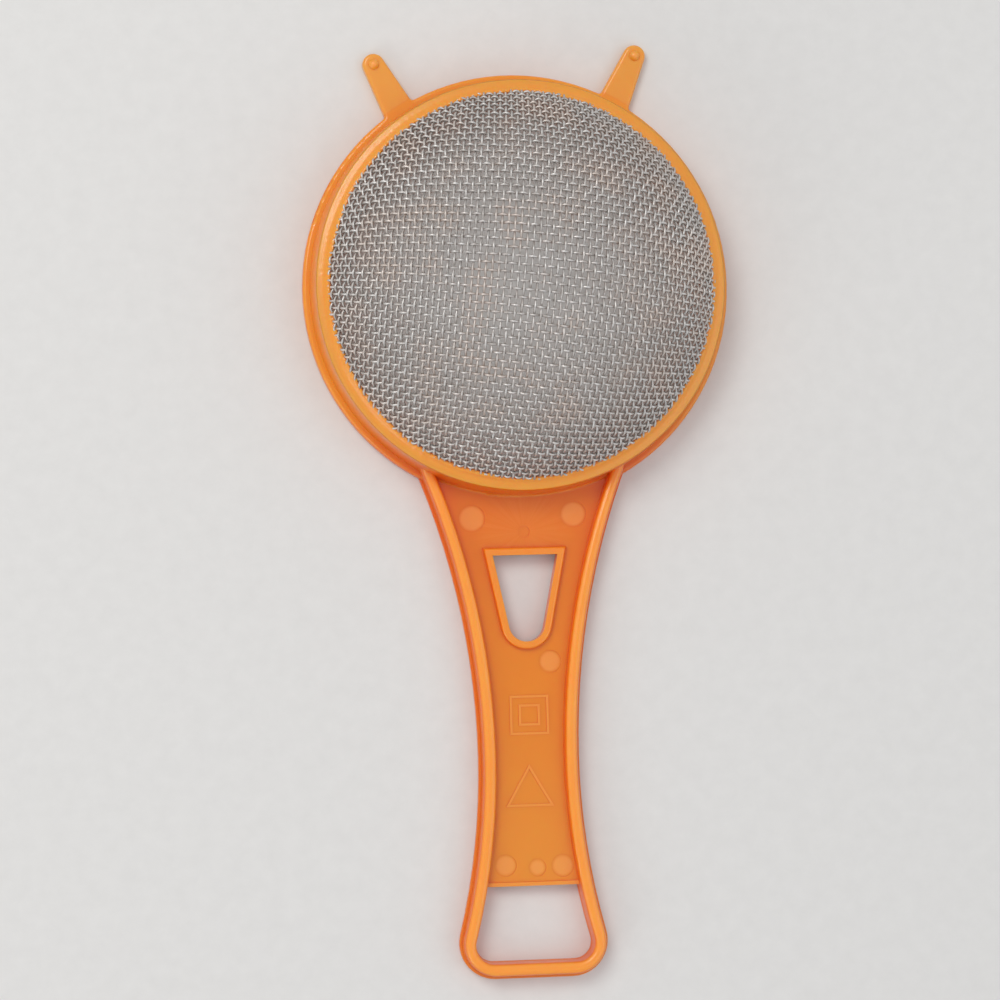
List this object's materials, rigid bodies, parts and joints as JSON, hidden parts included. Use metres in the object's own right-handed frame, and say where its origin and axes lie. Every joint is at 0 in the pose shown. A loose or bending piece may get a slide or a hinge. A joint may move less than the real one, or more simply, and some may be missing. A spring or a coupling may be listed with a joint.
{
  "type": "beach sand scoop",
  "caption": "Hand-held domed wire sieve scoop with a moulded rim, two resting ears and a flat handle with a hanging loop.",
  "frame": {"origin": "centre of the scoop's mouth, in the plane that its rim rests on", "axes": "+Z towards the crown of the dome, +Y away from the handle towards the two ears, +X to the right seen from the dome's side"},
  "size_m": [0.1008, 0.2191, 0.0398],
  "materials": {
    "frame_plastic": "translucent orange polypropylene, satin to gloss",
    "wire": "bright drawn stainless wire"
  },
  "bodies": {
    "root": {"moulded_frame": "frame_plastic", "warp_wires_left": "wire", "warp_wires_right": "wire", "weft_wires_handle_side": "wire", "weft_wires_ear_side": "wire"}
  },
  "joints": []
}
